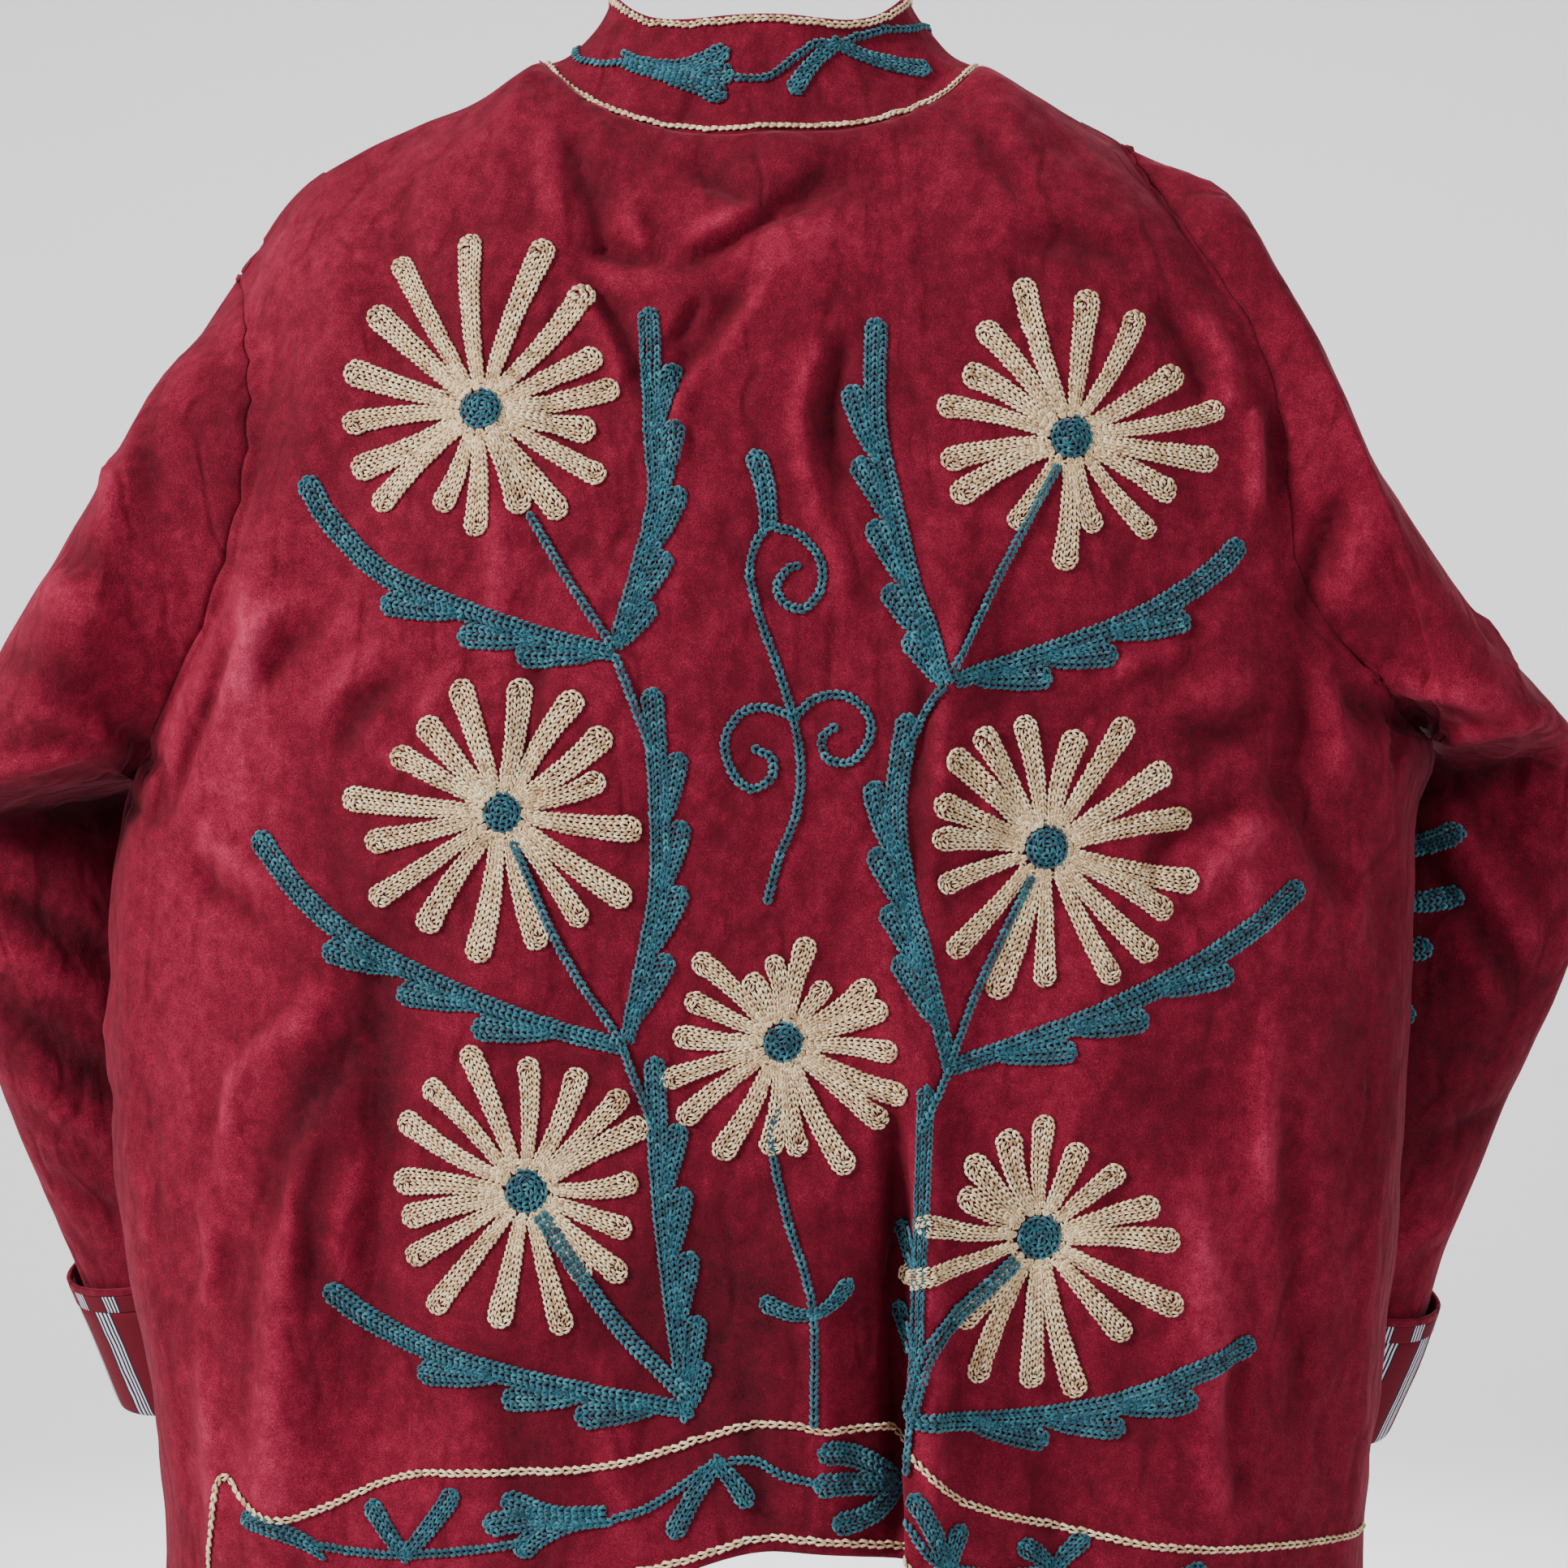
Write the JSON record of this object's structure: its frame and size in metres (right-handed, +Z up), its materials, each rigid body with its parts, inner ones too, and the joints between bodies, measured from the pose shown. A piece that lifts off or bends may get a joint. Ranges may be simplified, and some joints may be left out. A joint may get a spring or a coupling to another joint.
{
  "type": "suzani jacket",
  "caption": "Hip-length velvet jacket with a stand collar, open front, side slits and turned-back striped cuffs, filled out as worn, for floral chain-stitch embroidery on its back.",
  "frame": {"origin": "midway between the shoulders, a little below the side of the neck, where the wearer's shoulders carry the jacket", "axes": "+Z up, -Y towards the jacket's front opening, +X towards the wearer's left"},
  "size_m": [0.778, 0.2781, 0.769],
  "materials": {
    "velvet": "crimson cotton velvet with a soft, crushed nap",
    "facing": "plain-woven red cotton with groups of white and navy stripes",
    "cream_yarn": "matt cream embroidery yarn in chain stitch",
    "teal_yarn": "matt teal embroidery yarn in chain stitch"
  },
  "bodies": {
    "root": {"back": "velvet", "front_left": "velvet", "front_right": "velvet", "collar": "velvet", "sleeve_left": "velvet", "sleeve_right": "velvet", "cuff_left": "facing", "cuff_right": "facing", "cuff_band_left": "facing", "cuff_band_right": "facing", "cuff_edge_left": "velvet", "cuff_edge_right": "velvet"}
  },
  "joints": []
}
